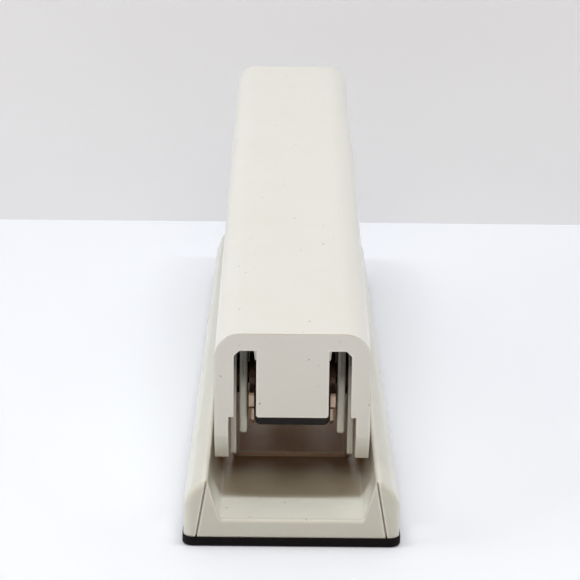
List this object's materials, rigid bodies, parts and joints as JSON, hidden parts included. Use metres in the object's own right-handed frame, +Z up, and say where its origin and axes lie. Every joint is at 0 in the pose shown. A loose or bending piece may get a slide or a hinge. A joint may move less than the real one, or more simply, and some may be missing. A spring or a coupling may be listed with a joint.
{
  "type": "desk stapler",
  "caption": "Hand-operated full-strip desk stapler with a boxy painted cover, a sprung magazine, a turning anvil and a trough-shaped base on a rubber pad.",
  "frame": {"origin": "bottom centre of the whole stapler, on the underside of the rubber pad", "axes": "+Z up, +Y along the stapler from the hinge end to the stapling nose, +X to the right seen from the hinge end"},
  "size_m": [0.0386, 0.1984, 0.055],
  "materials": {
    "cover_paint": "semi-gloss warm off-white enamel",
    "base_paint": "semi-gloss grey-white enamel, chipped on edges",
    "bracket_paint": "semi-gloss off-white enamel",
    "arm_paint": "satin grey-green enamel",
    "bare_steel": "bright rolled steel with a warm tarnish",
    "spring_steel": "dark oiled spring steel",
    "zinc": "bright zinc plate",
    "black_plastic": "moulded black",
    "pad_rubber": "matt black moulded rubber"
  },
  "bodies": {
    "base": {"base_shell": "base_paint", "base_pad": "pad_rubber", "hinge_bracket": "bracket_paint", "bracket_rivets": "zinc", "lift_spring": "spring_steel", "lift_spring_rivet": "zinc", "pivot_pin": "zinc", "pin_clip": "spring_steel", "pivot_washers": "zinc", "anvil_spring": "spring_steel"},
    "magazine": {"magazine_channel": "bare_steel", "magazine_nose": "bare_steel", "spacer_tube": "zinc", "end_block": "black_plastic", "core_rail": "bare_steel", "rail_rivets": "zinc", "follower_rod": "zinc", "rod_clip": "black_plastic", "follower_spring": "spring_steel"},
    "follower": {"follower": "bare_steel"},
    "cover": {"cover_shell": "cover_paint", "press_arm": "arm_paint", "cover_screws": "zinc", "driver_blade": "spring_steel", "driver_rivets": "zinc", "arm_spring": "spring_steel", "arm_spring_rivet": "zinc"},
    "anvil_seat": {"anvil_collar": "zinc"},
    "anvil": {"anvil_plate": "zinc", "anvil_stem": "zinc", "anvil_button": "zinc"}
  },
  "joints": [
    {"name": "magazine_swing", "type": "hinge", "parent": "base", "child": "magazine", "pos_m": [0, -0.0742, 0.0245], "axis": [1, 0, 0], "range_deg": [-5.9, 0], "stiffness_Nm_per_rad": 2, "springref_deg": 14.32, "deforming": ["lift_spring"]},
    {"name": "cover_lift", "type": "hinge", "parent": "magazine", "child": "cover", "pos_m": [0, -0.0742, 0.0245], "axis": [1, 0, 0], "range_deg": [-2.8, 36], "stiffness_Nm_per_rad": 1.5, "springref_deg": 7.62, "deforming": ["arm_spring"]},
    {"name": "follower_slide", "type": "slide", "parent": "magazine", "child": "follower", "axis": [0, 0.9947, 0.1028], "range_m": [-0.1, 0], "stiffness_N_per_m": 15, "springref_m": 0.1, "deforming": ["follower_spring"]},
    {"name": "anvil_lift", "type": "slide", "parent": "base", "child": "anvil_seat", "axis": [0, 0, 1], "range_m": [0, 0.0022], "stiffness_N_per_m": 400, "springref_m": -0.002, "deforming": ["anvil_spring"]},
    {"name": "anvil_turn", "type": "hinge", "parent": "anvil_seat", "child": "anvil", "pos_m": [0, 0.0865, 0.0133], "axis": [0, 0, 1], "range_deg": [0, 180]}
  ]
}
